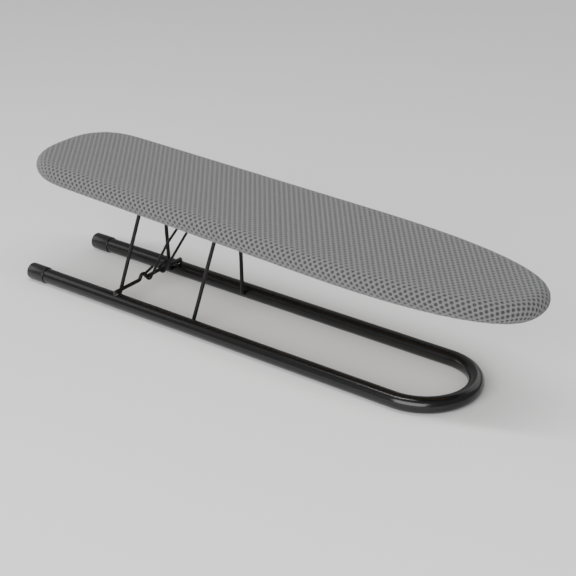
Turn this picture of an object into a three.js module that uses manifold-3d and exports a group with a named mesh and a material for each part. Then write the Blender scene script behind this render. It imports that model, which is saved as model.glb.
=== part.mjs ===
// A table-top sleeve ironing board: a bent tube base that lies on the table, a
// folding linkage of two wire legs and a wire stay, and a padded board with a
// fitted cloth cover.  Millimetres, +Z up, +X towards the board's nose.
//
// Inside the assembly X is measured from the outer ends of the tube caps, Y
// from the middle and Z from the underside of the level tube.  At the end the
// whole assembly is set down on its caps and bend, with the origin under the
// middle of its bounding box.

import * as THREE from "three";
import { mergeVertices } from "three/addons/utils/BufferGeometryUtils.js";
import Module from "manifold-3d";

const wasm = await Module();
wasm.setup();

// ---- driving dimensions ----

const GAP = 0.3; // between pieces that touch

const TUBE_RADIUS = 8;
const TUBE_WALL = 1.2;
const ARM_SPACING = 100; // between the axes of the two arms
const ARM_LENGTH = 466.5; // from the caps' ends to the centre of the bend
const VENT_X = 461.5; // paint drain hole in the far arm
const VENT_RADIUS = 2.2;

const CAP_RADIUS = 9;
const CAP_LENGTH = 24;
const CAP_END = 2.5;
const CAP_EDGE = 2.5;

const WIRE_RADIUS = 2; // legs and lock bar
const REAR_LEG_X = 118.4;
const FRONT_LEG_X = 218.8;
const LEG_LENGTH = 108.4; // hinge axis to hinge axis
const LEG_LEAN = Math.atan(0.162); // towards the nose
const LEG_FOOT = 39.9; // half widths of the trapezoid
const LEG_TOP = 15.2;
const PIVOT_CLEARANCE = 0.4;

const LOCK_BAR_X = 124.5;
const HUMP_HEIGHT = 5;
const HUMP_FEET = 10.8; // across the hump
const HUMP_CROWN = 4;

const STAY_RADIUS = 1.4;
const STAY_Y = 10; // the stay stands a little to the far side
const STAY_HALF_WIDTH = 11;
const STAY_LENGTH = 115.4; // lock bar to catch
const STAY_LEAN = Math.atan(0.626);
const STAY_SET = 3.3; // how far the near shank is bent back
const STAY_SET_AT = 52;
const STAY_TAPER = 7; // how far the far shank comes in, to pass between the front shanks
const STAY_TAPER_AT = 80;
const STAY_TOP_BEND = 3;
const EYE_RADIUS = WIRE_RADIUS + PIVOT_CLEARANCE + STAY_RADIUS;
const EYE_WRAP = THREE.MathUtils.degToRad(192.5);
const EYE_TAIL = 13.5;
const HUMP_OFFSET = 19.5; // from the stay's middle to each hump's middle

const BOARD_PITCH = THREE.MathUtils.degToRad(1.7); // nose down
const BOARD_X = 250; // where the board's own frame sits
const BOARD_Z = 126.5;
const HEEL_X = -235.8; // ends of the core outline in the board's frame
const TOE_X = 324.8;
const HEEL_HALF_WIDTH = 53.5;
const TOE_HALF_WIDTH = 61;
const HEEL_REACH = 57.5; // length and squareness of each rounded end
const HEEL_POWER = 2.8;
const TOE_REACH = 215.2;
const TOE_POWER = 2.37;
const RIM_RADIUS = 11.2; // from the core outline to the outside of the cover

const COVER_THICKNESS = 1.6;
const COVER_TURN_UNDER = 28; // width of cloth below the board
const ELASTIC_WIDTH = 3;
const ELASTIC_THICKNESS = 2;
const PAD_SIDE = 8;
const PANEL_THICKNESS = 12;
const PANEL_BOTTOM = -9.2;
const PANEL_EDGE = 1;

const SHEET = 1.2; // thickness of the pressed brackets
const BRACKET_WIDTH = 18;
const FLANGE = 12;
const CATCH_WIDTH = 8;
const CATCH_FLANGE = 24;
const CATCH_LIP = 4.5;
const CATCH_LIP_SLOPE = THREE.MathUtils.degToRad(21);

const SCREW_RADIUS = 1.5;
const SCREW_LENGTH = 9;
const SCREW_HEAD_RADIUS = 3;
const SCREW_HEAD_HEIGHT = 1.8;
const SCREW_HOLE_RADIUS = 1.9;

const TUBE_SIDES = 20;
const WIRE_SIDES = 12;
const SMALL_SIDES = 10;

// ---- materials ----

function finish(color, roughness, metalness) {
  return new THREE.MeshStandardMaterial({ color, roughness, metalness });
}

const BLACK_PAINT = finish(0x111112, 0.35, 0.3);
const BLACK_PLASTIC = finish(0x141415, 0.3, 0);
const BLACK_WIRE = finish(0x161617, 0.4, 0.3);
const GREY_MESH = finish(0x7b7b7c, 0.95, 0);
const WHITE_FOAM = finish(0xd9d6cc, 0.95, 0);
const FIBREBOARD = finish(0xa98a63, 0.8, 0);
const ZINC = finish(0xb4b6b8, 0.35, 0.9);
const DARK_ELASTIC = finish(0x3a3a3b, 0.9, 0);

// ---- solids and booleans ----

function solidOf(geometry) {
  const bare = geometry.clone();
  bare.deleteAttribute("normal");
  bare.deleteAttribute("uv");
  const merged = mergeVertices(bare, 1e-3);
  const vertProperties = merged.attributes.position.array;
  const triVerts = new Uint32Array(merged.index.array);
  return new wasm.Manifold(new wasm.Mesh({ numProp: 3, vertProperties, triVerts }));
}

function geometryOf(solid) {
  const mesh = solid.getMesh();
  const geometry = new THREE.BufferGeometry();
  geometry.setAttribute("position", new THREE.BufferAttribute(mesh.vertProperties, 3));
  geometry.setIndex(new THREE.BufferAttribute(mesh.triVerts, 1));
  geometry.computeVertexNormals();
  return geometry;
}

// The first geometry with all the others cut out of it.
function cut(body, ...tools) {
  return geometryOf(tools.reduce((left, tool) => left.subtract(solidOf(tool)), solidOf(body)));
}

function piece(name, geometry, material) {
  const mesh = new THREE.Mesh(geometry, material);
  mesh.name = name;
  return mesh;
}

// ---- bent tube and wire ----

// A path that is sampled at its own points, so that straight runs stay one
// step long and the bends keep their facets.
class FacetPath extends THREE.Curve {
  constructor(points) {
    super();
    this.points = points;
  }

  get steps() {
    return this.points.length - 1;
  }

  getPoint(t, target = new THREE.Vector3()) {
    const place = THREE.MathUtils.clamp(t, 0, 1) * this.steps;
    const index = Math.min(Math.floor(place), this.steps - 1);
    return target.lerpVectors(this.points[index], this.points[index + 1], place - index);
  }

  getUtoTmapping(u) {
    return u;
  }
}

const corner = (x, y, z, radius = 0) => ({ at: new THREE.Vector3(x, y, z), radius });

// The points of a path through corners, each rounded to its own radius.
function bentPath(corners, facets) {
  const points = [];
  const add = (point) => {
    if (!points.length || points.at(-1).distanceTo(point) > 1e-4) points.push(point);
  };
  corners.forEach(({ at, radius }, i) => {
    if (radius === 0) {
      add(at);
      return;
    }
    const back = corners[i - 1].at.clone().sub(at).normalize();
    const ahead = corners[i + 1].at.clone().sub(at).normalize();
    const half = back.angleTo(ahead) / 2;
    const middle = back.clone().add(ahead).setLength(radius / Math.sin(half));
    const centre = middle.add(at);
    const spoke = at.clone().addScaledVector(back, radius / Math.tan(half)).sub(centre);
    const axis = ahead.clone().cross(back).normalize();
    for (let k = 0; k <= facets; k++) {
      const turn = ((Math.PI - 2 * half) * k) / facets;
      add(spoke.clone().applyAxisAngle(axis, turn).add(centre));
    }
  });
  return new FacetPath(points);
}

// A polygon whose flats lie at the given radius.
function roundSection(radius, sides) {
  const outer = radius / Math.cos(Math.PI / sides);
  const points = [];
  for (let i = 0; i < sides; i++) {
    const angle = ((i + 0.5) * 2 * Math.PI) / sides;
    points.push(new THREE.Vector2(outer * Math.cos(angle), outer * Math.sin(angle)));
  }
  return new THREE.Shape(points);
}

function rod(path, radius, sides) {
  const options = { steps: path.steps, extrudePath: path, bevelEnabled: false };
  return new THREE.ExtrudeGeometry(roundSection(radius, sides), options);
}

// A straight round bar between two points, for cutting holes.
function bar(from, to, radius, sides = WIRE_SIDES) {
  return rod(new FacetPath([from, to]), radius, sides);
}

// ---- base ----

function tubePath(startX) {
  const half = ARM_SPACING / 2;
  const noseX = ARM_LENGTH + half;
  const corners = [
    corner(startX, -half, TUBE_RADIUS),
    corner(noseX, -half, TUBE_RADIUS, half),
    corner(noseX, half, TUBE_RADIUS, half),
    corner(startX, half, TUBE_RADIUS),
  ];
  return bentPath(corners, 12);
}

// Holes through the inner walls of the arms, for the feet of a leg.
function legHoles(x) {
  const inside = ARM_SPACING / 2 - TUBE_RADIUS;
  return [-1, 1].map((side) => {
    const from = new THREE.Vector3(x, side * (inside - 3), TUBE_RADIUS);
    const to = new THREE.Vector3(x, side * (inside + TUBE_RADIUS), TUBE_RADIUS);
    return bar(from, to, WIRE_RADIUS + PIVOT_CLEARANCE);
  });
}

function baseTube() {
  const start = CAP_END + GAP;
  const inside = ARM_SPACING / 2 - TUBE_RADIUS;
  const vent = bar(
    new THREE.Vector3(VENT_X, inside - 3, TUBE_RADIUS),
    new THREE.Vector3(VENT_X, inside + TUBE_RADIUS, TUBE_RADIUS),
    VENT_RADIUS,
    SMALL_SIDES,
  );
  const outside = rod(tubePath(start), TUBE_RADIUS, TUBE_SIDES);
  const bore = rod(tubePath(start - 1), TUBE_RADIUS - TUBE_WALL, TUBE_SIDES);
  return cut(outside, bore, ...legHoles(REAR_LEG_X), ...legHoles(FRONT_LEG_X), vent);
}

function endCap(side) {
  const round = 1 / Math.cos(Math.PI / TUBE_SIDES);
  const outer = CAP_RADIUS * round;
  const inner = (TUBE_RADIUS + GAP) * round;
  const edge = new THREE.Path();
  edge.moveTo(0, 0);
  edge.lineTo(outer - CAP_EDGE, 0);
  edge.absarc(outer - CAP_EDGE, CAP_EDGE, CAP_EDGE, -Math.PI / 2, 0, false);
  edge.lineTo(outer, CAP_LENGTH);
  edge.lineTo(inner, CAP_LENGTH);
  edge.lineTo(inner, CAP_END);
  edge.lineTo(0, CAP_END);
  const cap = new THREE.LatheGeometry(edge.getPoints(4), TUBE_SIDES, Math.PI / TUBE_SIDES);
  cap.rotateZ(-Math.PI / 2);
  cap.translate(0, (side * ARM_SPACING) / 2, TUBE_RADIUS);
  return cap;
}

// The cross wire on top of the arms, with a hump on each side of the stay.
function lockBar() {
  const z = 2 * TUBE_RADIUS + WIRE_RADIUS + GAP;
  const feet = HUMP_FEET / 2;
  const crown = HUMP_CROWN / 2;
  const humps = [-1, 1].flatMap((side) => {
    const y = STAY_Y + side * HUMP_OFFSET;
    return [
      corner(LOCK_BAR_X, y - feet, z, 2.5),
      corner(LOCK_BAR_X, y - crown, z + HUMP_HEIGHT, 2.5),
      corner(LOCK_BAR_X, y + crown, z + HUMP_HEIGHT, 2.5),
      corner(LOCK_BAR_X, y + feet, z, 2.5),
    ];
  });
  const end = ARM_SPACING / 2 + 2;
  const corners = [corner(LOCK_BAR_X, -end, z), ...humps, corner(LOCK_BAR_X, end, z)];
  return rod(bentPath(corners, 3), WIRE_RADIUS, WIRE_SIDES);
}

// ---- linkage ----

// One trapezoid of wire in its own frame: feet on the Y axis, top bar above.
function legWire() {
  const foot = ARM_SPACING / 2 - TUBE_RADIUS + 4;
  const corners = [
    corner(0, -foot, 0),
    corner(0, -LEG_FOOT, 0, 3),
    corner(0, -LEG_TOP, LEG_LENGTH, 5),
    corner(0, LEG_TOP, LEG_LENGTH, 5),
    corner(0, LEG_FOOT, 0, 3),
    corner(0, foot, 0),
  ];
  return rod(bentPath(corners, 5), WIRE_RADIUS, WIRE_SIDES);
}

// The eye of one shank, from the end of its tail round to the shank's foot.
function eye(y) {
  const facets = 12;
  const points = [];
  for (let i = 0; i <= facets; i++) {
    const angle = -EYE_WRAP + (EYE_WRAP * i) / facets;
    points.push(corner(EYE_RADIUS * Math.cos(angle), y, EYE_RADIUS * Math.sin(angle)));
  }
  const along = new THREE.Vector3(-Math.sin(EYE_WRAP), 0, -Math.cos(EYE_WRAP));
  const tail = points[0].at.clone().addScaledVector(along, EYE_TAIL);
  return [corner(tail.x, y, tail.z), ...points];
}

// The stay in its own frame: the lock bar on the Y axis, the shanks upright.
function stayWire() {
  const corners = [
    ...eye(-STAY_HALF_WIDTH),
    corner(EYE_RADIUS - STAY_SET, -STAY_HALF_WIDTH, STAY_SET_AT, 60),
    corner(EYE_RADIUS, -STAY_HALF_WIDTH, STAY_LENGTH, STAY_TOP_BEND),
    corner(EYE_RADIUS, STAY_HALF_WIDTH - STAY_TAPER, STAY_LENGTH, STAY_TOP_BEND),
    corner(EYE_RADIUS, STAY_HALF_WIDTH, STAY_TAPER_AT, 40),
    ...eye(STAY_HALF_WIDTH).reverse(),
  ];
  return rod(bentPath(corners, 5), STAY_RADIUS, SMALL_SIDES);
}

// ---- board ----

// The board's plan, grown all round by a margin: a superellipse arc at each
// end, and straight sides that widen a little towards the nose.
function boardOutline(margin) {
  const heel = HEEL_X - margin;
  const toe = TOE_X + margin;
  const ends = [
    { tip: toe, reach: -TOE_REACH, power: TOE_POWER, facets: 13, flip: false },
    { tip: heel, reach: HEEL_REACH, power: HEEL_POWER, facets: 8, flip: true },
  ];
  const side = ends.flatMap(({ tip, reach, power, facets, flip }) => {
    const arc = [];
    for (let i = 0; i <= facets; i++) {
      const angle = (Math.PI / 2) * (i / facets);
      const along = Math.cos(angle) ** (2 / power);
      const across = Math.sin(angle) ** (2 / power);
      const x = tip + reach * (1 - along);
      const widen = (x - heel) / (toe - heel);
      const halfWidth = THREE.MathUtils.lerp(HEEL_HALF_WIDTH, TOE_HALF_WIDTH, widen) + margin;
      arc.push(new THREE.Vector2(x, halfWidth * across));
    }
    return flip ? arc.reverse() : arc;
  });
  const mirrored = side.slice(1, -1).reverse().map(({ x, y }) => new THREE.Vector2(x, -y));
  return [...side, ...mirrored];
}

// A flat slab of the board's plan between two heights.
function slab(margin, bottom, top) {
  const shape = new THREE.Shape(boardOutline(margin));
  const geometry = new THREE.ExtrudeGeometry(shape, { depth: top - bottom, bevelEnabled: false });
  return geometry.translate(0, 0, bottom);
}

// The board's plan with edges rounded to a bevel, centred on its mid-plane.
function roundedSlab(margin, thickness, bevel, segments) {
  const shape = new THREE.Shape(boardOutline(margin));
  const depth = thickness - 2 * bevel;
  const options = { depth, bevelThickness: bevel, bevelSize: bevel, bevelSegments: segments };
  return new THREE.ExtrudeGeometry(shape, options).translate(0, 0, -depth / 2);
}

// A full round rim at the given distance inside the cover's outside.
function paddedSlab(inset) {
  const thickness = 2 * (RIM_RADIUS - inset);
  return roundedSlab(0, thickness, thickness / 2 - 0.2, 4);
}

const COVER_OPENING = RIM_RADIUS - COVER_TURN_UNDER;
const PANEL_MARGIN = RIM_RADIUS - COVER_THICKNESS - GAP - PAD_SIDE;

function boardCover() {
  const opening = slab(COVER_OPENING, -RIM_RADIUS - 1, 0);
  return cut(paddedSlab(0), paddedSlab(COVER_THICKNESS), opening);
}

function boardPad() {
  const room = slab(PANEL_MARGIN + GAP, -RIM_RADIUS, PANEL_BOTTOM + PANEL_THICKNESS + GAP);
  return cut(paddedSlab(COVER_THICKNESS + GAP), room);
}

function hemElastic() {
  const outer = COVER_OPENING - GAP;
  const top = PANEL_BOTTOM - GAP;
  const ring = slab(outer, top - ELASTIC_THICKNESS, top);
  return cut(ring, slab(outer - ELASTIC_WIDTH, -RIM_RADIUS - 3, 0));
}

// The panel, with a blind pilot hole above every screw.
function boardPanel(screws) {
  const panel = roundedSlab(PANEL_MARGIN - PANEL_EDGE, PANEL_THICKNESS, PANEL_EDGE, 1);
  panel.translate(0, 0, PANEL_BOTTOM + PANEL_THICKNESS / 2);
  const holes = screws.map(({ x, y }) => {
    const from = new THREE.Vector3(x, y, PANEL_BOTTOM - 1);
    const to = new THREE.Vector3(x, y, PANEL_BOTTOM + SCREW_LENGTH);
    return bar(from, to, SCREW_HOLE_RADIUS, SMALL_SIDES);
  });
  return cut(panel, ...holes);
}

// ---- brackets and screws ----

const FLANGE_TOP = PANEL_BOTTOM - GAP;

// Extrudes an outline drawn in X and Z to the given width along Y.
function pressed(outline, width, y, holes) {
  const options = { depth: width, bevelEnabled: false, curveSegments: 8 };
  const geometry = new THREE.ExtrudeGeometry(outline, options);
  geometry.rotateX(Math.PI / 2);
  geometry.translate(0, y + width / 2, 0);
  const drills = holes.map((x) => {
    const from = new THREE.Vector3(x, y, FLANGE_TOP - SHEET - 1);
    const to = new THREE.Vector3(x, y, FLANGE_TOP + 1);
    return bar(from, to, SCREW_HOLE_RADIUS, SMALL_SIDES);
  });
  return cut(geometry, ...drills);
}

const hingeScrewReach = WIRE_RADIUS + PIVOT_CLEARANCE + SHEET + FLANGE / 2;

// A saddle over a leg's top bar, screwed up to the panel before and behind it.
function hingeBracket(pivot) {
  const inner = WIRE_RADIUS + PIVOT_CLEARANCE;
  const outer = inner + SHEET;
  const end = outer + FLANGE;
  const outline = new THREE.Shape();
  outline.moveTo(pivot.x - end, FLANGE_TOP);
  outline.lineTo(pivot.x - end, FLANGE_TOP - SHEET);
  outline.lineTo(pivot.x - outer, FLANGE_TOP - SHEET);
  outline.absarc(pivot.x, pivot.z, outer, Math.PI, 2 * Math.PI, false);
  outline.lineTo(pivot.x + outer, FLANGE_TOP - SHEET);
  outline.lineTo(pivot.x + end, FLANGE_TOP - SHEET);
  outline.lineTo(pivot.x + end, FLANGE_TOP);
  outline.lineTo(pivot.x + inner, FLANGE_TOP);
  outline.absarc(pivot.x, pivot.z, inner, 0, -Math.PI, true);
  outline.lineTo(pivot.x - inner, FLANGE_TOP);
  const holes = [-1, 1].map((side) => pivot.x + side * hingeScrewReach);
  return pressed(outline, BRACKET_WIDTH, 0, holes);
}

const CATCH_Y = STAY_Y - STAY_TAPER / 2; // over the middle of the stay's top bar

// A hook that opens towards the nose and holds the stay's top bar.
function stayCatch(pivot) {
  const inner = STAY_RADIUS + PIVOT_CLEARANCE;
  const outer = inner + SHEET;
  const end = pivot.x - outer - CATCH_FLANGE;
  const lipStart = (3 * Math.PI) / 2 - CATCH_LIP_SLOPE;
  const along = new THREE.Vector2(Math.cos(CATCH_LIP_SLOPE), -Math.sin(CATCH_LIP_SLOPE));
  const lipEnd = (radius) => {
    const x = pivot.x + radius * Math.cos(lipStart) + CATCH_LIP * along.x;
    const z = pivot.z + radius * Math.sin(lipStart) + CATCH_LIP * along.y;
    return [x, z];
  };
  const outline = new THREE.Shape();
  outline.moveTo(end, FLANGE_TOP);
  outline.lineTo(end, FLANGE_TOP - SHEET);
  outline.lineTo(pivot.x - outer, FLANGE_TOP - SHEET);
  outline.absarc(pivot.x, pivot.z, outer, Math.PI, lipStart, false);
  outline.lineTo(...lipEnd(outer));
  outline.lineTo(...lipEnd(inner));
  outline.absarc(pivot.x, pivot.z, inner, lipStart, Math.PI, true);
  outline.lineTo(pivot.x - inner, FLANGE_TOP);
  return pressed(outline, CATCH_WIDTH, CATCH_Y, catchScrews(pivot));
}

function catchScrews(pivot) {
  const wall = pivot.x - STAY_RADIUS - PIVOT_CLEARANCE - SHEET;
  return [0.27, 0.75].map((share) => wall - share * CATCH_FLANGE);
}

// A pan-head wood screw standing on its head's outer face.
function screw({ x, y }) {
  const head = FLANGE_TOP - SHEET - GAP - SCREW_HEAD_HEIGHT;
  const profile = [
    [0, 0],
    [SCREW_HEAD_RADIUS - 0.7, 0],
    [SCREW_HEAD_RADIUS, 0.7],
    [SCREW_HEAD_RADIUS, SCREW_HEAD_HEIGHT],
    [SCREW_RADIUS, SCREW_HEAD_HEIGHT],
    [SCREW_RADIUS, SCREW_HEAD_HEIGHT + SCREW_LENGTH - SCREW_RADIUS],
    [0, SCREW_HEAD_HEIGHT + SCREW_LENGTH],
  ];
  const points = profile.map(([radius, height]) => new THREE.Vector2(radius, height));
  const geometry = new THREE.LatheGeometry(points, WIRE_SIDES);
  geometry.rotateX(Math.PI / 2);
  geometry.translate(x, y, head);
  return geometry;
}

// ---- assembly ----

const assembly = new THREE.Group();

function leg(name, x) {
  const frame = new THREE.Group();
  frame.position.set(x, 0, TUBE_RADIUS);
  frame.rotation.y = LEG_LEAN;
  frame.add(piece(name, legWire(), BLACK_WIRE));
  return frame;
}

function stay() {
  const frame = new THREE.Group();
  frame.position.set(LOCK_BAR_X, STAY_Y, 2 * TUBE_RADIUS + WIRE_RADIUS + GAP);
  frame.rotation.y = STAY_LEAN;
  frame.add(piece("lock_stay", stayWire(), BLACK_WIRE));
  return frame;
}

// A point of a hinged wire's frame, as the board's frame sees it.
function onBoard(board, hinged, x, z) {
  const point = new THREE.Vector3(x, 0, z);
  hinged.updateMatrixWorld(true);
  board.updateMatrixWorld(true);
  return board.worldToLocal(hinged.localToWorld(point));
}

const rearLeg = leg("rear_leg", REAR_LEG_X);
const frontLeg = leg("front_leg", FRONT_LEG_X);
const lockStay = stay();

const board = new THREE.Group();
board.position.set(BOARD_X, 0, BOARD_Z);
board.rotation.y = BOARD_PITCH;

const rearPivot = onBoard(board, rearLeg, 0, LEG_LENGTH);
const frontPivot = onBoard(board, frontLeg, 0, LEG_LENGTH);
const catchPivot = onBoard(board, lockStay, EYE_RADIUS, STAY_LENGTH);

const screwPlaces = [
  ["rear_bracket_screw", [-1, 1].map((side) => rearPivot.x + side * hingeScrewReach), 0],
  ["front_bracket_screw", [-1, 1].map((side) => frontPivot.x + side * hingeScrewReach), 0],
  ["catch_screw", catchScrews(catchPivot), CATCH_Y],
].flatMap(([name, stations, y]) => stations.map((x, i) => ({ name: `${name}_${i + 1}`, x, y })));

board.add(
  piece("board_panel", boardPanel(screwPlaces), FIBREBOARD),
  piece("board_pad", boardPad(), WHITE_FOAM),
  piece("board_cover", boardCover(), GREY_MESH),
  piece("hem_elastic", hemElastic(), DARK_ELASTIC),
  piece("rear_hinge_bracket", hingeBracket(rearPivot), ZINC),
  piece("front_hinge_bracket", hingeBracket(frontPivot), ZINC),
  piece("stay_catch", stayCatch(catchPivot), ZINC),
  ...screwPlaces.map((place) => piece(place.name, screw(place), ZINC)),
);

assembly.add(
  piece("base_tube", baseTube(), BLACK_PAINT),
  piece("near_end_cap", endCap(-1), BLACK_PLASTIC),
  piece("far_end_cap", endCap(1), BLACK_PLASTIC),
  piece("lock_bar", lockBar(), BLACK_WIRE),
  rearLeg,
  frontLeg,
  lockStay,
  board,
);

// The caps are thicker than the tube, so the base tips until its bend touches
// the table.
const restLength = ARM_LENGTH + ARM_SPACING / 2 - CAP_LENGTH;
assembly.rotation.y = Math.atan((CAP_RADIUS - TUBE_RADIUS) / restLength);

const bounds = new THREE.Box3().setFromObject(assembly, true);
const middle = bounds.getCenter(new THREE.Vector3());
assembly.position.set(-middle.x, -middle.y, -bounds.min.z);

const ironingBoard = new THREE.Group();
ironingBoard.add(assembly);

export default ironingBoard;
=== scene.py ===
import math

import bpy
import numpy as np
from mathutils import Matrix, Vector
from mathutils.kdtree import KDTree


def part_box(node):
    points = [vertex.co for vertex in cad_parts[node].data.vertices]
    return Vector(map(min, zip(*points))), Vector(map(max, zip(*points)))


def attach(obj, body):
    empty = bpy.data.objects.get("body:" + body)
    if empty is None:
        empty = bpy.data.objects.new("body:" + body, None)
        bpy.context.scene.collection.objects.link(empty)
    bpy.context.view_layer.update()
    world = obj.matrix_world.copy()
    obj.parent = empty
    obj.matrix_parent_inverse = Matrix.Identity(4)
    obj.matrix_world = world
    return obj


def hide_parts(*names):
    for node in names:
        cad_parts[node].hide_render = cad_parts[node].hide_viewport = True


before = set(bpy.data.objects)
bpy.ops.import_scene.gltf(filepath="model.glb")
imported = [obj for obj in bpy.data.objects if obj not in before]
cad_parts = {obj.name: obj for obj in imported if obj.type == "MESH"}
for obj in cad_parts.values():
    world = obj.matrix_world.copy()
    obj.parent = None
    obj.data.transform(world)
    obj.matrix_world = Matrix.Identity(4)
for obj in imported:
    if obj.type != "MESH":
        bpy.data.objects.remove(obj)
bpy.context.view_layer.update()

# ---- frames ----
# Points are written in millimetres, as in the CAD: X from the outer ends of the
# caps, Y from the middle, Z from the underside of the level tube.  LEVEL turns
# them into the row frame, and BOARD does the same for the board's own frame.

MM = 0.001
TUBE_R = 8.0
CAP_R = 9.0
CAP_LENGTH = 24.0
ARM_Y = 50.0
ARM_LENGTH = 466.5
TILT = math.atan((CAP_R - TUBE_R) / (ARM_LENGTH + ARM_Y - CAP_LENGTH))
CAP_DROP = 1.0513

cap_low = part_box("near_end_cap")[0]
LEVEL = (
    Matrix.Translation((cap_low.x, 0, cap_low.z + CAP_DROP * MM))
    @ Matrix.Rotation(TILT, 4, "Y")
    @ Matrix.Scale(MM, 4)
)
BOARD_PITCH = math.radians(1.7)
BOARD = LEVEL @ Matrix.Translation((250, 0, 126.5)) @ Matrix.Rotation(BOARD_PITCH, 4, "Y")


def hinged(x, y, z, lean):
    """The frame of a wire that is hinged at a point and leans towards the nose."""
    return LEVEL @ Matrix.Translation((x, y, z)) @ Matrix.Rotation(lean, 4, "Y")


# ---- camera, floor and light ----


CAMERA_PLACE = (0.82293, -1.0738, 0.70199)
CAMERA_AZIMUTH = 36.896
CAMERA_ELEVATION = 25.728
SENSOR_WIDTH = 36
LENS = 94.96

# name, place, target, size in metres and power in watts
LIGHTS = (
    ("overhead", (0.1, -0.25, 1.7), (0, 0, 0), (1.8, 0.16), 17),
    ("front", (0.5, -2.2, 1.1), (0, 0, 0.05), (2.6, 1.6), 80),
    ("left", (-2.2, -0.8, 1.2), (0, 0, 0.05), (1.6, 1.6), 12),
    ("back", (0.3, 2.4, 1.5), (0, 0, 0.05), (2.4, 1.4), 10),
)
AMBIENT = 0.36
FLOOR_REACH = 20  # metres each way


def add_camera():
    data = bpy.data.cameras.new("camera")
    data.sensor_width = SENSOR_WIDTH
    data.lens = LENS
    camera = bpy.data.objects.new("camera", data)
    bpy.context.scene.collection.objects.link(camera)
    turn = Matrix.Rotation(math.radians(CAMERA_AZIMUTH), 4, "Z")
    nod = Matrix.Rotation(math.radians(90 - CAMERA_ELEVATION), 4, "X")
    place = Matrix.Translation(CAMERA_PLACE)
    camera.matrix_world = place @ Matrix.Rotation(TILT, 4, "Y") @ turn @ nod
    bpy.context.scene.camera = camera


def area_light(name, place, target, size, power):
    data = bpy.data.lights.new(name, "AREA")
    data.shape = "RECTANGLE"
    data.size, data.size_y = size
    data.energy = power
    light = bpy.data.objects.new(name, data)
    bpy.context.scene.collection.objects.link(light)
    light.location = place
    light.rotation_euler = (Vector(target) - Vector(place)).to_track_quat("-Z", "Y").to_euler()


def add_studio():
    for light in LIGHTS:
        area_light(*light)
    world = bpy.data.worlds.new("studio")
    world.use_nodes = True
    background = world.node_tree.nodes["Background"]
    background.inputs["Color"].default_value = (1, 1, 1, 1)
    background.inputs["Strength"].default_value = AMBIENT
    bpy.context.scene.world = world


# ---- materials ----


class Shader:
    """A procedural material with a few helpers for its nodes."""

    def __init__(self, name, color, roughness, metallic=0.0, specular=0.5):
        self.material = bpy.data.materials.new(name)
        self.material.use_nodes = True
        self.tree = self.material.node_tree
        self.shader = self.tree.nodes["Principled BSDF"]
        self.shader.inputs["Base Color"].default_value = (*color, 1)
        self.shader.inputs["Roughness"].default_value = roughness
        self.shader.inputs["Metallic"].default_value = metallic
        self.shader.inputs["Specular IOR Level"].default_value = specular

    def node(self, kind, **settings):
        node = self.tree.nodes.new(kind)
        for key, value in settings.items():
            setattr(node, key, value)
        return node

    def link(self, source, target):
        self.tree.links.new(source, target)

    def math(self, operation, *values):
        node = self.node("ShaderNodeMath", operation=operation)
        for socket, value in zip(node.inputs, values):
            if isinstance(value, (int, float)):
                socket.default_value = value
            else:
                self.link(value, socket)
        return node.outputs[0]

    def object_noise(self, scale, detail, stretch=(1, 1, 1)):
        place = self.node("ShaderNodeTexCoord").outputs["Object"]
        mapping = self.node("ShaderNodeMapping")
        mapping.inputs["Scale"].default_value = stretch
        noise = self.node("ShaderNodeTexNoise")
        noise.inputs["Scale"].default_value = scale
        noise.inputs["Detail"].default_value = detail
        self.link(place, mapping.inputs["Vector"])
        self.link(mapping.outputs[0], noise.inputs["Vector"])
        return noise.outputs["Fac"]

    def bump(self, height, distance, strength):
        node = self.node("ShaderNodeBump")
        node.inputs["Distance"].default_value = distance
        node.inputs["Strength"].default_value = strength
        self.link(height, node.inputs["Height"])
        self.link(node.outputs[0], self.shader.inputs["Normal"])

    def mix_color(self, factor, low, high):
        node = self.node("ShaderNodeMix", data_type="RGBA")
        self.link(factor, node.inputs["Factor"])
        for key, value in (("A", low), ("B", high)):
            socket = [s for s in node.inputs if s.name == key and s.type == "RGBA"][0]
            if isinstance(value, tuple):
                socket.default_value = (*value, 1)
            else:
                self.link(value, socket)
        return [s for s in node.outputs if s.type == "RGBA"][0]

    def color(self, output):
        self.link(output, self.shader.inputs["Base Color"])


def powder_coat(name, tone, roughness, specular):
    s = Shader(name, (tone, tone, tone * 1.04), roughness, specular=specular)
    s.bump(s.object_noise(1400, 1), 0.00003, 0.5)
    return s.material


def moulded_plastic():
    s = Shader("moulded_plastic", (0.009, 0.009, 0.009), 0.24, specular=0.5)
    s.bump(s.object_noise(420, 2), 0.00004, 0.4)
    return s.material


def zinc_plate():
    s = Shader("zinc_plate", (0.56, 0.57, 0.58), 0.34, metallic=1.0)
    s.color(s.mix_color(s.object_noise(160, 4), (0.46, 0.46, 0.45), (0.63, 0.64, 0.66)))
    s.bump(s.object_noise(500, 3, (1, 6, 1)), 0.00004, 0.5)
    return s.material


def fibreboard():
    s = Shader("fibreboard", (0.38, 0.25, 0.14), 0.78, specular=0.3)
    flecks = s.object_noise(900, 6, (1, 1, 3))
    cloud = s.object_noise(30, 3)
    shade = s.mix_color(flecks, (0.27, 0.17, 0.09), (0.46, 0.32, 0.19))
    s.color(s.mix_color(s.math("MULTIPLY", cloud, 0.5), shade, (0.40, 0.28, 0.17)))
    s.bump(flecks, 0.00012, 0.6)
    return s.material


def foam():
    s = Shader("white_foam", (0.72, 0.70, 0.64), 0.95, specular=0.2)
    s.bump(s.object_noise(700, 4), 0.0003, 0.7)
    return s.material


def woven_elastic():
    s = Shader("woven_elastic", (0.05, 0.05, 0.05), 0.85, specular=0.2)
    s.bump(s.object_noise(1500, 2), 0.0002, 0.7)
    return s.material


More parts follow.
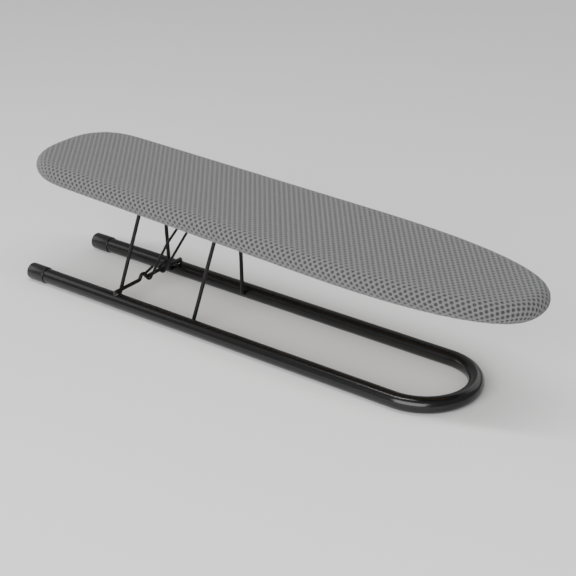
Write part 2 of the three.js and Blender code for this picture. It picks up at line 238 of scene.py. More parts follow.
MESH_PITCH = 6.1  # between cells of one row, along the board
MESH_ROW = 3.9  # between rows
CELL_RADIUS = 1.65  # of the dark middle
CELL_FADE = (-0.1, 0.25)  # where its edge starts and ends, from that radius
CELL_RINGS = ((2.15, 0.1), (1.75, 1.5))  # radius and depth of each ring of a cell


def spacer_mesh():
    """Grey knit with a staggered grid of dark cells, in the cloth's own flat plan."""
    s = Shader("spacer_mesh", (0.2, 0.2, 0.2), 0.92, specular=0.15)
    s.shader.inputs["Sheen Weight"].default_value = 0.15
    s.shader.inputs["Sheen Roughness"].default_value = 0.6
    plan = s.node("ShaderNodeUVMap", uv_map="cloth")
    split = s.node("ShaderNodeSeparateXYZ")
    s.link(plan.outputs[0], split.inputs[0])
    x = s.math("MULTIPLY", split.outputs["X"], 1 / MM)
    y = s.math("MULTIPLY", split.outputs["Y"], 1 / MM)
    dx = s.math("PINGPONG", x, MESH_PITCH / 2)
    dy = s.math("PINGPONG", y, MESH_ROW)
    ex = s.math("SUBTRACT", MESH_PITCH / 2, dx)
    ey = s.math("SUBTRACT", MESH_ROW, dy)

    def length(a, b):
        return s.math("SQRT", s.math("ADD", s.math("MULTIPLY", a, a), s.math("MULTIPLY", b, b)))

    distance = s.math("MINIMUM", length(dx, dy), length(ex, ey))
    ramp = s.node("ShaderNodeMapRange", interpolation_type="SMOOTHSTEP")
    s.link(distance, ramp.inputs["Value"])
    ramp.inputs["From Min"].default_value = CELL_RADIUS + CELL_FADE[0]
    ramp.inputs["From Max"].default_value = CELL_RADIUS + CELL_FADE[1]
    rib = ramp.outputs["Result"]
    thread = s.object_noise(1300, 2)
    cloth = s.mix_color(thread, (0.12, 0.12, 0.121), (0.172, 0.172, 0.173))
    s.color(s.mix_color(rib, (0.062, 0.062, 0.063), cloth))
    fine = s.math("MULTIPLY", thread, 0.35)
    s.bump(s.math("ADD", rib, fine), 0.0004, 0.55)
    return s.material


# ---- meshes ----


def transform(points, matrix):
    """Points as rows, moved by a 4 by 4 matrix."""
    m = np.array(matrix)
    return np.asarray(points, float) @ m[:3, :3].T + m[:3, 3]


def add_piece(name, points, faces, matrix, material, body, slot, sharp=35.0):
    """A smooth-shaded mesh object in the row frame that rides on a body."""
    mesh = bpy.data.meshes.new(name)
    mesh.from_pydata(transform(points, matrix).tolist(), [], [list(map(int, f)) for f in faces])
    mesh.validate()
    mesh.polygons.foreach_set("use_smooth", [True] * len(mesh.polygons))
    mesh.set_sharp_from_angle(angle=math.radians(sharp))
    mesh.materials.append(material)
    obj = bpy.data.objects.new(name, mesh)
    bpy.context.scene.collection.objects.link(obj)
    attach(obj, body)
    return obj


def cut_out(obj, cutters, sharp=35.0):
    """Cuts closed meshes out of a piece, and removes them."""
    for cutter in cutters:
        modifier = obj.modifiers.new("cut", "BOOLEAN")
        modifier.operation = "DIFFERENCE"
        modifier.solver = "EXACT"
        modifier.object = cutter
    graph = bpy.context.evaluated_depsgraph_get()
    mesh = bpy.data.meshes.new_from_object(obj.evaluated_get(graph))
    obj.modifiers.clear()
    obj.data = mesh
    mesh.polygons.foreach_set("use_smooth", [True] * len(mesh.polygons))
    mesh.set_sharp_from_angle(angle=math.radians(sharp))
    for cutter in cutters:
        bpy.data.objects.remove(cutter)


def bare(name, points, faces, matrix):
    """A mesh object without material or body, to cut with."""
    mesh = bpy.data.meshes.new(name)
    mesh.from_pydata(transform(points, matrix).tolist(), [], [list(map(int, f)) for f in faces])
    obj = bpy.data.objects.new(name, mesh)
    bpy.context.scene.collection.objects.link(obj)
    return obj


def bent(corners, step=6.0):
    """Points of a path through corners (x, y, z, radius), with arcs every few degrees."""
    points = []
    for i, (x, y, z, radius) in enumerate(corners):
        at = Vector((x, y, z))
        if radius == 0:
            points.append(at)
            continue
        back = (Vector(corners[i - 1][:3]) - at).normalized()
        ahead = (Vector(corners[i + 1][:3]) - at).normalized()
        half = back.angle(ahead) / 2
        centre = at + (back + ahead).normalized() * (radius / math.sin(half))
        spoke = at + back * (radius / math.tan(half)) - centre
        axis = ahead.cross(back).normalized()
        turn = math.pi - 2 * half
        count = max(2, math.ceil(math.degrees(turn) / step))
        for k in range(count + 1):
            points.append(centre + Matrix.Rotation(turn * k / count, 3, axis) @ spoke)
    kept = [points[0]]
    for point in points[1:]:
        if (point - kept[-1]).length > 1e-4:
            kept.append(point)
    return np.array([list(p) for p in kept])


def rings_along(path, radii, sides):
    """One ring of points round each point of a path."""
    tangents = np.gradient(path, axis=0)
    tangents[0] = path[1] - path[0]
    tangents[-1] = path[-1] - path[-2]
    tangents /= np.linalg.norm(tangents, axis=1, keepdims=True)
    side = np.cross(tangents[0], (0.0, 0.0, 1.0))
    if np.linalg.norm(side) < 0.1:
        side = np.cross(tangents[0], (0.0, 1.0, 0.0))
    angles = np.arange(sides) * 2 * math.pi / sides
    rings = []
    for place, tangent, radius in zip(path, tangents, radii):
        side = side - tangent * side.dot(tangent)
        side /= np.linalg.norm(side)
        up = np.cross(side, tangent)
        circle = np.outer(np.cos(angles), side) + np.outer(np.sin(angles), up)
        rings.append(place + radius * circle)
    return np.array(rings)


def skin(rings, close_ends=True):
    """Points and faces of a tube through rings of the same number of points."""
    count, sides = rings.shape[:2]
    faces = []
    for i in range(count - 1):
        for j in range(sides):
            k = (j + 1) % sides
            faces.append((i * sides + j, i * sides + k, (i + 1) * sides + k, (i + 1) * sides + j))
    if close_ends:
        faces.append(tuple(range(sides))[::-1])
        faces.append(tuple((count - 1) * sides + j for j in range(sides)))
    return rings.reshape(-1, 3), faces


def wire(path, radius, sides=24, edge=0.5):
    """A round wire with softened ends.  Its faces look inwards."""
    path = np.asarray(path, float)
    start = (path[1] - path[0]) / np.linalg.norm(path[1] - path[0])
    stop = (path[-1] - path[-2]) / np.linalg.norm(path[-1] - path[-2])
    head = [path[0] + start * edge * t for t in (0, 0.3, 1)]
    tail = [path[-1] - stop * edge * t for t in (1, 0.3, 0)]
    full = np.array(head + list(path[1:-1]) + tail)
    radii = np.full(len(full), radius)
    radii[[0, -1]] = radius - edge
    radii[[1, -2]] = radius - edge * 0.3
    return skin(rings_along(full, radii, sides))


def lathe(profile, sides=48):
    """Points and faces of (height, radius) pairs turned round the Z axis."""
    angles = np.arange(sides) * 2 * math.pi / sides
    rings = np.array(
        [[(r * math.cos(a), r * math.sin(a), h) for a in angles] for h, r in profile]
    )
    return skin(rings)


def arc(centre_h, centre_r, radius, start, stop, count=6):
    """Points (height, radius) on an arc, angles in degrees from the +radius direction."""
    turn = np.radians(np.linspace(start, stop, count))
    return [(centre_h + radius * math.sin(t), centre_r + radius * math.cos(t)) for t in turn]


# ---- base ----

TUBE_WALL = 1.2
TUBE_START = 2.8  # the tube's ends are this far inside the caps
TUBE_SIDES = 48
REAR_X, FRONT_X = 118.4, 218.8  # the legs' foot pivots
LEG_HOLE_R = 2.4
DRAIN_X = 461.5
DRAIN_R = 2.2
CAP_ROUND = 2.6
CAP_LIP = 0.7
CAP_END = 3.0  # thickness of the closed end
CAP_GAP = 0.15
WIRE_R = 2.0
LOCK_X = 124.5
LOCK_Z = 2 * TUBE_R + WIRE_R + 0.1
LOCK_HALF = 52
STAY_Y = 10
HUMP_OFFSET = 19.5  # from the stay's middle to each hump's middle
HUMP_FOOT, HUMP_TOP = 5.4, 2  # half widths
HUMP_HEIGHT = 5
HUMP_BEND = 2.5
WELD_START, WELD_LENGTH = 44.5, 9.5
WELD_HALF, WELD_HIGH = 4.3, 2.0


def tube_path():
    nose = ARM_LENGTH + ARM_Y
    corners = [
        (TUBE_START, -ARM_Y, TUBE_R, 0),
        (nose, -ARM_Y, TUBE_R, ARM_Y),
        (nose, ARM_Y, TUBE_R, ARM_Y),
        (TUBE_START, ARM_Y, TUBE_R, 0),
    ]
    return bent(corners, step=3)


def drill(x, side, radius):
    """A rod through the inner wall of one arm, to cut with.  Its faces look inwards."""
    path = [(x, side * (ARM_Y - 12), TUBE_R), (x, side * (ARM_Y - 0.5), TUBE_R)]
    rings = rings_along(np.array(path, float), [radius, radius], 32)
    return bare("drill", *skin(rings), LEVEL)


def add_tube(paint):
    """The hollow U.  The drills are inside out and leave its wall closed, so the
    holes for the legs and the drain hole aren't open."""
    path = tube_path()
    outer = rings_along(path, np.full(len(path), TUBE_R), TUBE_SIDES)
    inner = rings_along(path, np.full(len(path), TUBE_R - TUBE_WALL), TUBE_SIDES)
    outer_points, outer_faces = skin(outer, close_ends=False)
    inner_points, inner_faces = skin(inner, close_ends=False)
    shift = len(outer_points)
    faces = list(outer_faces)
    faces += [tuple(shift + i for i in face[::-1]) for face in inner_faces]
    last = shift - TUBE_SIDES
    for j in range(TUBE_SIDES):
        k = (j + 1) % TUBE_SIDES
        faces.append((j, shift + j, shift + k, k))
        faces.append((last + j, last + k, shift + last + k, shift + last + j))
    points = np.vstack([outer_points, inner_points])
    tube = add_piece("tube_base", points, faces, LEVEL, paint, "base", "tube_paint")
    drills = [drill(x, side, LEG_HOLE_R) for x in (REAR_X, FRONT_X) for side in (-1, 1)]
    drills.append(drill(DRAIN_X, 1, DRAIN_R))
    cut_out(tube, drills)
    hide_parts("base_tube")


def add_caps(plastic):
    """Moulded sleeves over the tube's ends, open towards the tube."""
    bore = TUBE_R + CAP_GAP
    profile = [(0, 0.05), (0, 4.0)]
    profile += arc(CAP_ROUND, CAP_R - CAP_ROUND, CAP_ROUND, -90, 0, 8)
    profile += arc(CAP_LENGTH - CAP_LIP, CAP_R - CAP_LIP, CAP_LIP, 0, 90, 5)
    profile += [(CAP_LENGTH, bore), (CAP_END, bore), (CAP_END, 0.05)]
    cap_points, cap_faces = lathe(profile, 64)
    turned = np.stack([cap_points[:, 2], cap_points[:, 1], -cap_points[:, 0]], axis=1)
    for side, node, name in ((-1, "near_end_cap", "cap_near"), (1, "far_end_cap", "cap_far")):
        place = LEVEL @ Matrix.Translation((0, side * ARM_Y, TUBE_R))
        cap = add_piece(name, turned, cap_faces, place, plastic, "base", "cap_plastic", 40)
        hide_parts(node)


def add_lock_bar(paint, wire_paint):
    """The cross wire on top of the arms, with a hump on each side of the stay."""
    corners = [(LOCK_X, -LOCK_HALF, LOCK_Z, 0)]
    for side in (-1, 1):
        y = STAY_Y + side * HUMP_OFFSET
        corners += [
            (LOCK_X, y - HUMP_FOOT, LOCK_Z, HUMP_BEND),
            (LOCK_X, y - HUMP_TOP, LOCK_Z + HUMP_HEIGHT, HUMP_BEND),
            (LOCK_X, y + HUMP_TOP, LOCK_Z + HUMP_HEIGHT, HUMP_BEND),
            (LOCK_X, y + HUMP_FOOT, LOCK_Z, HUMP_BEND),
        ]
    corners.append((LOCK_X, LOCK_HALF, LOCK_Z, 0))
    points, faces = wire(bent(corners), WIRE_R)
    bar = add_piece("bar_lock", points, faces, LEVEL, wire_paint, "base", "wire_paint")
    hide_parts("lock_bar")
    for side, name in ((-1, "weld_near"), (1, "weld_far")):
        add_weld(name, side, paint)


def add_weld(name, side, paint):
    """A fillet of weld where the lock bar lies across a tube."""
    count, around = 14, 24
    rings = []
    for i in range(count + 1):
        t = i / count
        y = side * (WELD_START + WELD_LENGTH * t)
        swell = math.sin(math.pi * min(max(t, 0.04), 0.96)) ** 0.6
        ripple = 1 + 0.06 * math.sin(9 * math.pi * t)
        half, high = WELD_HALF * swell * ripple, WELD_HIGH * swell * ripple
        drop = TUBE_R - math.sqrt(TUBE_R**2 - (abs(y) - ARM_Y) ** 2)
        top = 2 * TUBE_R - drop
        angles = np.arange(around) * 2 * math.pi / around
        rings.append([(LOCK_X + half * math.cos(a), y, top + high * math.sin(a)) for a in angles])
    add_piece(name, *skin(np.array(rings)), LEVEL, paint, "base", "tube_paint", 60)


# ---- linkage ----

LEG_LEAN = math.atan(0.162)
LEG_LENGTH = 108.4
LEG_END = 46  # half lengths across: the foot's ends, the feet and the top bar
LEG_FOOT = 39.9
LEG_TOP = 15.2
STAY_LEAN = math.atan(0.626)
STAY_R = 1.4
STAY_Z = 2 * TUBE_R + WIRE_R + 0.3
STAY_HALF = 11
STAY_TOP = 115.4  # the top bar, along the lean
EYE_R = 3.8
EYE_WRAP = math.radians(192.5)
EYE_TAIL = 13.5


def add_legs(paint):
    corners = [
        (0, -LEG_END, 0, 0),
        (0, -LEG_FOOT, 0, 3),
        (0, -LEG_TOP, LEG_LENGTH, 5),
        (0, LEG_TOP, LEG_LENGTH, 5),
        (0, LEG_FOOT, 0, 3),
        (0, LEG_END, 0, 0),
    ]
    for x, body in ((REAR_X, "rear_leg"), (FRONT_X, "front_leg")):
        place = hinged(x, 0, TUBE_R, LEG_LEAN)
        points, faces = wire(bent(corners), WIRE_R)
        leg = add_piece(f"wire_{body}", points, faces, place, paint, body, "wire_paint")
        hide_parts(body)


def eye(y):
    """The closed eye at the foot of a shank, from the end of its tail."""
    turns = np.linspace(-EYE_WRAP, 0, 33)
    ring = [(EYE_R * math.cos(a), y, EYE_R * math.sin(a), 0) for a in turns]
    x, _, z, _ = ring[0]
    tail = (x - math.sin(EYE_WRAP) * EYE_TAIL, y, z - math.cos(EYE_WRAP) * EYE_TAIL, 0)
    return [tail] + ring


def add_stay(paint):
    shanks = [
        (EYE_R - 3.3, -STAY_HALF, 52, 60),
        (EYE_R, -STAY_HALF, STAY_TOP, 3),
        (EYE_R, 4, STAY_TOP, 3),
        (EYE_R, STAY_HALF, 80, 40),
    ]
    corners = eye(-STAY_HALF) + shanks + eye(STAY_HALF)[::-1]
    place = hinged(LOCK_X, STAY_Y, STAY_Z, STAY_LEAN)
    points, faces = wire(bent(corners, 4), STAY_R, 20, 0.4)
    stay = add_piece("wire_stay", points, faces, place, paint, "lock_stay", "wire_paint")
    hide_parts("lock_stay")


# ---- board ----

HEEL_X, TOE_X = -235.8, 324.8
HEEL_HALF, TOE_HALF = 53.5, 61.0
# Each end's tip, its length along X (towards the other end) and its squareness.
ENDS = ((TOE_X, -215.2, 2.37), (HEEL_X, 57.5, 2.8))
RIM = 11.2


def half_width(x):
    """Half of the core's width, which grows evenly from heel to toe."""
    return HEEL_HALF + (TOE_HALF - HEEL_HALF) * (x - HEEL_X) / (TOE_X - HEEL_X)


def outline(step):
    """The core outline as a closed loop of evenly spaced points, with its outward normals."""
    turn = np.linspace(0, math.pi / 2, 3000)
    ends = []
    for tip, reach, power in ENDS:
        x = tip + reach * (1 - np.cos(turn).clip(0) ** (2 / power))
        ends.append(np.stack([x, half_width(x) * np.sin(turn) ** (2 / power)], axis=1))
    side = np.vstack([ends[0], ends[1][::-1]])
    length = np.concatenate([[0], np.cumsum(np.linalg.norm(np.diff(side, axis=0), axis=1))])
    count = round(length[-1] / step)
    even = np.linspace(0, length[-1], count + 1)
    half = np.stack([np.interp(even, length, side[:, i]) for i in (0, 1)], axis=1)
    half[[0, -1], 1] = 0
    loop = np.vstack([half, half[1:-1][::-1] * (1, -1)])
    tangent = np.roll(loop, -3, axis=0) - np.roll(loop, 3, axis=0)
    tangent /= np.linalg.norm(tangent, axis=1, keepdims=True)
    return loop, np.stack([tangent[:, 1], -tangent[:, 0]], axis=1)


def foot_points(plan, loop, normal):
    """For points of the flat plan: the outline under each, its normal, its share
    of the loop, and the distance outside it."""
    tree = KDTree(len(loop))
    for i, (x, y) in enumerate(loop):
        tree.insert((x, y, 0), i)
    tree.balance()
    index = np.array([tree.find((x, y, 0))[1] for x, y in plan])
    step = np.linalg.norm(loop[1] - loop[0])
    tangent = np.stack([-normal[:, 1], normal[:, 0]], axis=1)
    turn = np.cross(normal, np.roll(normal, -1, axis=0)) / step
    gap = plan - loop[index]
    away = np.sum(gap * normal[index], axis=1)
    along = np.sum(gap * tangent[index], axis=1) / (1 + np.clip(turn[index] * away, -0.5, None))
    place = index + np.clip(along / step, -1, 1)
    low = np.floor(place).astype(int)
    part = (place - low)[:, None]
    count = len(loop)
    foot = loop[low % count] * (1 - part) + loop[(low + 1) % count] * part
    out = normal[low % count] * (1 - part) + normal[(low + 1) % count] * part
    out /= np.linalg.norm(out, axis=1, keepdims=True)
    return foot, out, place / count, away


def gathers(share):
    """Puckers round the hem: a smooth wave with uneven pitch and height."""
    t = share * 2 * math.pi
    wave = np.sin(96 * t + 1.9 * np.sin(5 * t) + 1.2 * np.sin(11 * t + 1))
    return (wave + 0.45 * np.sin(61 * t + 2.2 * np.sin(3 * t + 0.5))) / 1.3


RIM_ARC = RIM * math.pi
UNDER = 14.8
ROLL_R = 2.0
ROLL_ARC = ROLL_R * math.radians(335)
HEM_DROP = 0.7
PLAIN_ARC = RIM_ARC * 0.93  # no sunken cells beyond this


def drape(plan, depth, loop, normal):
    """Lays points of the flat cloth over the board, each sunk to its own depth."""
    foot, out, share, away = foot_points(plan, loop, normal)
    away = np.minimum(away, RIM_ARC + UNDER + ROLL_ARC)
    round_end = np.clip((np.abs(foot[:, 0] - 90) - 120) / 90, 0, 1)
    wave = gathers(share) * (0.35 + 0.65 * round_end)
    out = np.column_stack([out, np.zeros(len(out))])
    core = np.column_stack([foot, np.zeros(len(foot))])
    up = np.array([0.0, 0.0, 1.0])
    placed = np.column_stack([plan, np.full(len(plan), RIM)])
    facing = np.tile(up, (len(plan), 1))

    turn = np.clip(away / RIM, 0, math.pi)[:, None]
    reach = RIM + (np.clip((turn[:, 0] - 2.2) / 0.94, 0, 1) ** 2 * 0.35 * wave)[:, None]
    rim = away > 0
    direction = out * np.sin(turn) + up * np.cos(turn)
    placed[rim] = (core + direction * reach)[rim]
    facing[rim] = direction[rim]

    below = np.clip(away - RIM_ARC, 0, UNDER)
    slack = below / UNDER
    flat = core - out * below[:, None]
    flat[:, 2] = -RIM - HEM_DROP * slack**2 - (0.35 + 0.75 * slack) * wave
    under = away > RIM_ARC
    placed[under] = flat[under]

    angle = -np.clip(away - RIM_ARC - UNDER, 0, None) / ROLL_R
    size = (ROLL_R + 0.175 * wave * (1 - np.cos(angle)))[:, None]
    centre = core - out * (UNDER + ROLL_R)
    centre[:, 2] = -RIM - HEM_DROP - 1.1 * wave * (0.5 + 0.5 * np.cos(angle))
    curl = centre + out * np.cos(angle)[:, None] * size + up * np.sin(angle)[:, None] * size
    rolled = away > RIM_ARC + UNDER
    placed[rolled] = curl[rolled]

    sink = depth * (away < PLAIN_ARC)
    return placed - facing * sink[:, None]


def add_cover(material):
    """A knit of small hexagonal cells, each with a sunken middle, laid over the
    board and rolled into a hem."""
    loop, normal = outline(0.5)
    reach = RIM_ARC + UNDER + ROLL_ARC
    first_column = math.floor((HEEL_X - reach) / MESH_PITCH)
    last_column = math.ceil((TOE_X + reach) / MESH_PITCH)
    last_row = math.ceil((TOE_HALF + reach) / MESH_ROW)
    i, j = np.meshgrid(np.arange(first_column, last_column), np.arange(-last_row, last_row + 1))
    centres = np.stack([(i + (j % 2) / 2) * MESH_PITCH, j * MESH_ROW], axis=-1).reshape(-1, 2)
    centres = centres[foot_points(centres, loop, normal)[3] < reach]

    half = MESH_PITCH / 2
    tip = (half**2 + MESH_ROW**2) / (2 * MESH_ROW)
    shoulder = MESH_ROW - tip
    upper = [(half, shoulder), (0, tip), (-half, shoulder)]
    hexagon = upper + [(-x, -y) for x, y in upper]
    corners = centres[:, None] + np.array(hexagon)
    keys = np.round(corners.reshape(-1, 2) * 100).astype(int)
    _, first, shared = np.unique(keys, axis=0, return_index=True, return_inverse=True)
    plan = [corners.reshape(-1, 2)[first]]
    depth = [np.zeros(len(first))]
    rings = [shared.reshape(-1, 6)]
    angles = np.radians(np.arange(6) * 60 + 30)
    circle = np.stack([np.cos(angles), np.sin(angles)], axis=1)
    for radius, sunk in CELL_RINGS:
        start = sum(len(p) for p in plan)
        rings.append(start + np.arange(len(centres) * 6).reshape(-1, 6))
        plan.append((centres[:, None] + circle * radius).reshape(-1, 2))
        depth.append(np.full(len(centres) * 6, sunk))
    plan = np.vstack(plan)
    faces = []
    for outer, inner in zip(rings, rings[1:]):
        for k in range(6):
            n = (k + 1) % 6
            faces += np.stack([outer[:, k], outer[:, n], inner[:, n], inner[:, k]], axis=1).tolist()
    faces += rings[-1].tolist()
    points = drape(plan, np.concatenate(depth), loop, normal)
    cover = add_piece("cloth_cover", points, faces, BOARD, material, "board", "cover_mesh", 180)
    mesh = cover.data
    layer = mesh.uv_layers.new(name="cloth")
    corner = np.zeros(len(mesh.loops), np.int32)
    mesh.loops.foreach_get("vertex_index", corner)
    layer.data.foreach_set("uv", (plan[corner] * MM).astype(np.float32).ravel())
    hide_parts("board_cover")
    return cover


CORD_R = 1.1
CORD_SIDES = 12


def add_elastic(material):
    """The cord inside the rolled hem."""
    loop, normal = outline(4)
    inside = loop - normal * (UNDER + ROLL_R)
    path = np.column_stack([inside, np.full(len(loop), -RIM - HEM_DROP)])
    closed = np.vstack([path, path[:1]])
    rings = rings_along(closed, np.full(len(closed), CORD_R), CORD_SIDES)[:-1]
    count = len(rings)
    faces = []
    for i in range(count):
        here, there = i * CORD_SIDES, (i + 1) % count * CORD_SIDES
        for j in range(CORD_SIDES):
            k = (j + 1) % CORD_SIDES
            faces.append((here + j, here + k, there + k, there + j))
    points = rings.reshape(-1, 3)
    cord = add_piece("hem_cord", points, faces, BOARD, material, "board", "elastic", 80)
    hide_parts("hem_elastic")
    return cord


PAD_SWELL = 0.0012
PAD_SHARE = 0.9  # of the swell that the simulation may reach
PAD_VOXEL = 0.0042
PAD_PRESSURE = 4
PAD_FRAMES = 12


def add_pad(material):
    """The foam pad: the CAD solid drawn in a little, then swelled by a cloth simulation."""
    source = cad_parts["board_pad"]
    mesh = source.data.copy()
    mesh.materials.clear()
    pad = bpy.data.objects.new("foam_pad", mesh)
    bpy.context.scene.collection.objects.link(pad)
    remesh = pad.modifiers.new("remesh", "REMESH")
    remesh.mode = "VOXEL"
    remesh.voxel_size = PAD_VOXEL
    graph = bpy.context.evaluated_depsgraph_get()
    pad_mesh = bpy.data.meshes.new_from_object(pad.evaluated_get(graph))
    pad.modifiers.clear()
    pad.data = pad_mesh
    count = len(pad_mesh.vertices)
    full = np.zeros(count * 3)
    normals = np.zeros(count * 3)
    pad_mesh.vertices.foreach_get("co", full)
    pad_mesh.vertices.foreach_get("normal", normals)
    start = full.reshape(-1, 3) - normals.reshape(-1, 3) * PAD_SWELL
    pad_mesh.vertices.foreach_set("co", start.ravel())
    pad_mesh.update()
    cloth = pad.modifiers.new("cloth", "CLOTH")
    cloth.settings.use_pressure = True
    cloth.settings.uniform_pressure_force = PAD_PRESSURE
    cloth.settings.effector_weights.gravity = 0
    cloth.settings.quality = 4
    cloth.point_cache.frame_start = 1
    cloth.point_cache.frame_end = PAD_FRAMES
    scene = bpy.context.scene
    for step in range(1, PAD_FRAMES + 1):
        scene.frame_set(step)
    graph = bpy.context.evaluated_depsgraph_get()
    evaluated = pad.evaluated_get(graph).to_mesh()
    moved = np.zeros(count * 3)
    evaluated.vertices.foreach_get("co", moved)
    pad.evaluated_get(graph).to_mesh_clear()
    pad.modifiers.clear()
    scene.frame_set(1)
    shift = moved.reshape(-1, 3) - start
    size = np.linalg.norm(shift, axis=1, keepdims=True)
    shift *= np.minimum(1, PAD_SWELL * PAD_SHARE / np.maximum(size, 1e-9))
    pad_mesh.vertices.foreach_set("co", (start + shift).ravel())
    pad_mesh.update()
    pad_mesh.materials.append(material)
    pad_mesh.polygons.foreach_set("use_smooth", [True] * len(pad_mesh.polygons))
    subdivision = pad.modifiers.new("smooth", "SUBSURF")
    subdivision.levels = 1
    subdivision.render_levels = 1
    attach(pad, "board")
    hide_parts("board_pad")
    return pad


# ---- brackets, catch and screws ----

SHEET = 1.2
FLANGE_Z = -9.2 - 0.3 - SHEET / 2  # the middle of a bracket's flange
FLANGE = 12
SCREW_OUT = 6  # from a saddle's bend to its screw
FOLD_R = 0.9
PIVOT_GAP = 0.4
SADDLE_WIDTH = 18
CATCH_WIDTH = 8
CATCH_Y = 6.5
CATCH_FLANGE = 24
CATCH_SLOPE = 21  # of the lip, in degrees
CATCH_LIP = 4.5
SCREW_HEAD = 1.8


def strip(centre_line, width, y):
    """A pressed strip that follows a line in X and Z, with slightly rounded long edges."""
    line = np.array(centre_line, float)
    tangent = np.gradient(line, axis=0)
    tangent /= np.linalg.norm(tangent, axis=1, keepdims=True)
    normal = np.stack([-tangent[:, 1], tangent[:, 0]], axis=1)
    half, edge = SHEET / 2, 0.3
    section = [
        (width / 2 - edge, half),
        (width / 2, half - edge),
        (width / 2, edge - half),
        (width / 2 - edge, -half),
        (edge - width / 2, -half),
        (-width / 2, edge - half),
        (-width / 2, half - edge),
        (edge - width / 2, half),
    ]
    rings = []
    for (x, z), (nx, nz) in zip(line, normal):
        rings.append([(x + nx * t, y + across, z + nz * t) for across, t in section])
    return skin(np.array(rings))


def turn_points(x, z, radius, start, stop, count):
    """Points on an arc round (x, z), angles in degrees."""
    angles = np.radians(np.linspace(start, stop, count))
    return [(x + radius * math.cos(a), z + radius * math.sin(a)) for a in angles]


def board_point(matrix, x, z):
    """X and Z, in the board's frame, of a point of another frame's middle plane."""
    point = BOARD.inverted() @ matrix @ Vector((x, 0, z))
    return point.x, point.z


def add_saddle(end, x, zinc):
    """A saddle over a leg's top bar.  Returns the X of its two screws."""
    px, pz = board_point(hinged(x, 0, TUBE_R, LEG_LEAN), 0, LEG_LENGTH)
    middle = WIRE_R + PIVOT_GAP + SHEET / 2
    outer = middle + SHEET / 2
    fold_z = FLANGE_Z - FOLD_R
    steps = (FLANGE, SCREW_OUT, 0.4)
    line = [(px - outer - step, FLANGE_Z) for step in steps]
    line += turn_points(px - middle - FOLD_R, fold_z, FOLD_R, 90, 0, 5)
    line += turn_points(px, pz, middle, 180, 360, 25)
    line += turn_points(px + middle + FOLD_R, fold_z, FOLD_R, 180, 90, 5)
    line += [(px + outer + step, FLANGE_Z) for step in reversed(steps)]
    points, faces = strip(line, SADDLE_WIDTH, 0)
    saddle = add_piece(f"saddle_{end}", points, faces, BOARD, zinc, "board", "zinc_steel")
    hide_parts(f"{end}_hinge_bracket")
    return px - outer - SCREW_OUT, px + outer + SCREW_OUT


def add_catch(zinc):
    """The hook for the stay's top bar.  Returns the X of its two screws."""
    px, pz = board_point(hinged(LOCK_X, 0, STAY_Z, STAY_LEAN), EYE_R, STAY_TOP)
    middle = STAY_R + PIVOT_GAP + SHEET / 2
    wall = px - middle - SHEET / 2
    line = [(wall - CATCH_FLANGE, FLANGE_Z), (wall - CATCH_FLANGE / 2, FLANGE_Z)]
    line.append((px - middle - 1, FLANGE_Z))
    line += turn_points(px - middle - FOLD_R, FLANGE_Z - FOLD_R, FOLD_R, 90, 0, 5)
    line += turn_points(px, pz, middle, 180, 270 - CATCH_SLOPE, 12)
    slope = math.radians(CATCH_SLOPE)
    x, z = line[-1]
    line.append((x + CATCH_LIP * math.cos(slope), z - CATCH_LIP * math.sin(slope)))
    points, faces = strip(line, CATCH_WIDTH, CATCH_Y)
    catch = add_piece("hook_catch", points, faces, BOARD, zinc, "board", "zinc_steel")
    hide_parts("stay_catch")
    return wall - 0.27 * CATCH_FLANGE, wall - 0.75 * CATCH_FLANGE


def add_hardware(zinc):
    spots = []
    for end, x in (("rear", REAR_X), ("front", FRONT_X)):
        screws = add_saddle(end, x, zinc)
        spots += [(f"{end}_bracket_screw_{i}", at, 0) for i, at in enumerate(screws, 1)]
    screws = add_catch(zinc)
    spots += [(f"catch_screw_{i}", at, CATCH_Y) for i, at in enumerate(screws, 1)]
    for node, x, y in spots:
        add_screw(node, x, y, zinc)


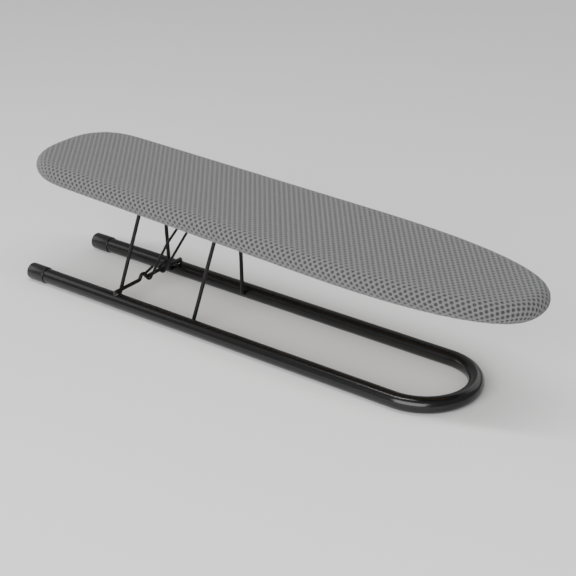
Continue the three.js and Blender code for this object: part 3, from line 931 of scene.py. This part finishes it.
def wedge(x, y, z):
    """Points and faces of a block that narrows upwards, with half widths x and y."""
    signs = [(-1, -1), (1, -1), (1, 1), (-1, 1)]
    points = [(sx * x, sy * y, 0) for sx, sy in signs]
    points += [(sx * x * 0.55, sy * y * 0.8, z) for sx, sy in signs]
    faces = [(3, 2, 1, 0), (4, 5, 6, 7)]
    faces += [(i, (i + 1) % 4, 4 + (i + 1) % 4, 4 + i) for i in range(4)]
    return points, faces


def add_screw(node, x, y, zinc):
    """A pan-head screw driven up into the panel, with a cross recess."""
    profile = [(0, 0.05), (0.02, 1.2)]
    profile += arc(1.25, 1.75, 1.25, -80, 0, 7)
    profile += [(1.8, 3.0), (1.8, 1.5), (9.0, 1.4), (10.8, 0.1)]
    bottom = FLANGE_Z - SHEET / 2 - SCREW_HEAD
    place = BOARD @ Matrix.Translation((x, y, bottom))
    screw = add_piece(f"cross_{node}", *lathe(profile, 32), place, zinc, "board", "zinc_steel", 40)
    stopped = 17 + 31 * (len(node) + int(node[-1]))  # each screw at its own angle
    cross = place @ Matrix.Rotation(math.radians(stopped), 4, "Z")
    cross = cross @ Matrix.Translation((0, 0, -0.1))
    recess = [bare("recess", *wedge(1.5, 0.35, 1.2), cross)]
    recess.append(bare("recess", *wedge(0.35, 1.5, 1.2), cross))
    cut_out(screw, recess, 40)
    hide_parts(node)


# ---- floor ----


def add_floor():
    s = Shader("pale_floor", (0.86, 0.86, 0.86), 0.6, specular=0.1)
    signs = ((-1, -1), (1, -1), (1, 1), (-1, 1))
    points = [(x * FLOOR_REACH, y * FLOOR_REACH, 0) for x, y in signs]
    mesh = bpy.data.meshes.new("floor")
    mesh.from_pydata(points, [], [(0, 1, 2, 3)])
    mesh.materials.append(s.material)
    floor = bpy.data.objects.new("floor", mesh)
    bpy.context.scene.collection.objects.link(floor)


add_camera()
add_studio()
add_floor()

tube_paint = powder_coat("black_tube_paint", 0.004, 0.2, 0.45)
wire_paint = powder_coat("black_wire_paint", 0.005, 0.45, 0.25)
zinc_finish = zinc_plate()

pad = add_pad(foam())
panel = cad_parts["board_panel"]
panel.data.materials.clear()
panel.data.materials.append(fibreboard())
cover = add_cover(spacer_mesh())
cord = add_elastic(woven_elastic())
add_hardware(zinc_finish)
add_tube(tube_paint)
add_caps(moulded_plastic())
add_lock_bar(tube_paint, wire_paint)
add_legs(wire_paint)
add_stay(wire_paint)
